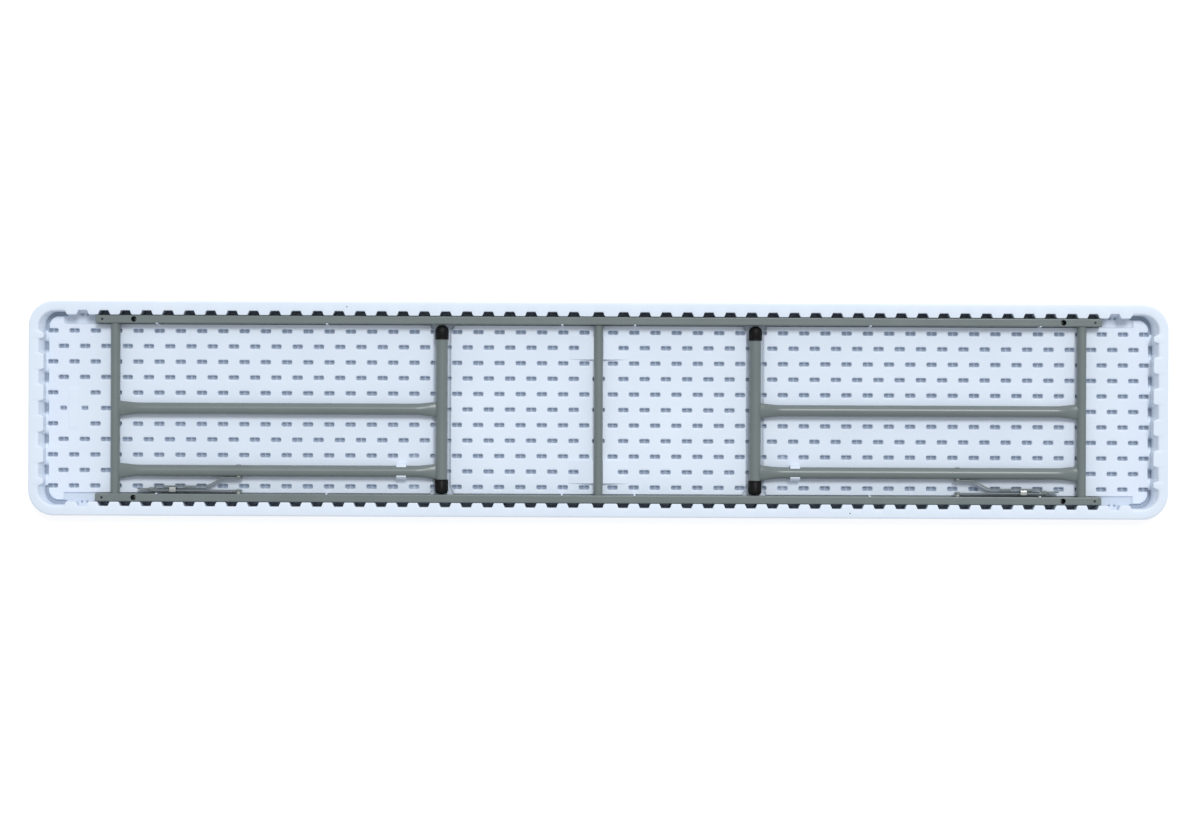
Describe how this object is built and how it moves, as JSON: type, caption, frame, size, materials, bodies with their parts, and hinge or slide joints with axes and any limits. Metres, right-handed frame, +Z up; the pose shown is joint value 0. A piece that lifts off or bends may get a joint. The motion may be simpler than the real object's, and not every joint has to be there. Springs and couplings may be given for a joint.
{
  "type": "folding table",
  "caption": "Long narrow folding table, moulded plastic top on two steel rails, with tubular leg frames that fold flat into its underside and locking braces.",
  "frame": {"origin": "middle of the top's outer face, on the surface it lies on, face down", "axes": "+X along the table, +Y across it, +Z up from the outer face of the top towards the side the legs unfold to; the table stands in use once it is turned over"},
  "size_m": [2.44, 0.46, 0.045],
  "materials": {
    "panel": "blow-moulded polyethylene, fine matt texture",
    "frame_paint": "grey-green powder coat",
    "foot_plastic": "black moulded plastic",
    "zinc": "bright zinc plate"
  },
  "bodies": {
    "top": {"table_top": "panel", "rail_front": "frame_paint", "rail_back": "frame_paint", "centre_crossbar": "frame_paint", "rail_screws": "zinc", "left_rail_spacer": "zinc", "left_rail_rivet": "zinc", "right_rail_spacer": "zinc", "right_rail_rivet": "zinc"},
    "left_leg": {"left_pivot_tube": "frame_paint", "left_centre_upright": "frame_paint", "left_side_upright": "frame_paint", "left_foot_tube": "frame_paint", "left_foot_cap_front": "foot_plastic", "left_foot_cap_back": "foot_plastic", "left_leg_spacer": "zinc", "left_leg_rivet": "zinc"},
    "left_upper_link": {"left_upper_link": "frame_paint", "left_elbow_rivet": "zinc"},
    "left_lower_link": {"left_lower_link": "frame_paint", "left_link_rivet_head": "zinc"},
    "left_lock_ring": {"left_lock_ring": "zinc"},
    "right_leg": {"right_pivot_tube": "frame_paint", "right_centre_upright": "frame_paint", "right_side_upright": "frame_paint", "right_foot_tube": "frame_paint", "right_foot_cap_front": "foot_plastic", "right_foot_cap_back": "foot_plastic", "right_leg_spacer": "zinc", "right_leg_rivet": "zinc"},
    "right_upper_link": {"right_upper_link": "frame_paint", "right_elbow_rivet": "zinc"},
    "right_lower_link": {"right_lower_link": "frame_paint", "right_link_rivet_head": "zinc"},
    "right_lock_ring": {"right_lock_ring": "zinc"}
  },
  "joints": [
    {"name": "left_leg_fold", "type": "hinge", "parent": "top", "child": "left_leg", "pos_m": [-1.036, 0, 0.029], "axis": [0, -1, 0], "range_deg": [0, 90]},
    {"name": "left_rail_pivot", "type": "hinge", "parent": "top", "child": "left_upper_link", "pos_m": [-0.771, -0.172, 0.029], "axis": [0, -1, 0], "range_deg": [-45, 0]},
    {"name": "left_elbow", "type": "hinge", "parent": "left_upper_link", "child": "left_lower_link", "pos_m": [-0.95838, -0.172, 0.029], "axis": [0, -1, 0], "range_deg": [0, 180]},
    {"name": "left_ring_slide", "type": "slide", "parent": "left_upper_link", "child": "left_lock_ring", "axis": [-1, 0, 0], "range_m": [0, 0.026]},
    {"name": "right_leg_fold", "type": "hinge", "parent": "top", "child": "right_leg", "pos_m": [1.036, 0, 0.029], "axis": [0, 1, 0], "range_deg": [0, 90]},
    {"name": "right_rail_pivot", "type": "hinge", "parent": "top", "child": "right_upper_link", "pos_m": [0.771, -0.172, 0.029], "axis": [0, 1, 0], "range_deg": [-45, 0]},
    {"name": "right_elbow", "type": "hinge", "parent": "right_upper_link", "child": "right_lower_link", "pos_m": [0.95838, -0.172, 0.029], "axis": [0, 1, 0], "range_deg": [0, 180]},
    {"name": "right_ring_slide", "type": "slide", "parent": "right_upper_link", "child": "right_lock_ring", "axis": [1, 0, 0], "range_m": [0, 0.026]}
  ],
  "couplings": [
    {"joint": "left_rail_pivot", "follows": "left_leg_fold", "ratio": -0.5},
    {"joint": "left_elbow", "follows": "left_leg_fold", "ratio": 2},
    {"joint": "right_rail_pivot", "follows": "right_leg_fold", "ratio": -0.5},
    {"joint": "right_elbow", "follows": "right_leg_fold", "ratio": 2}
  ]
}
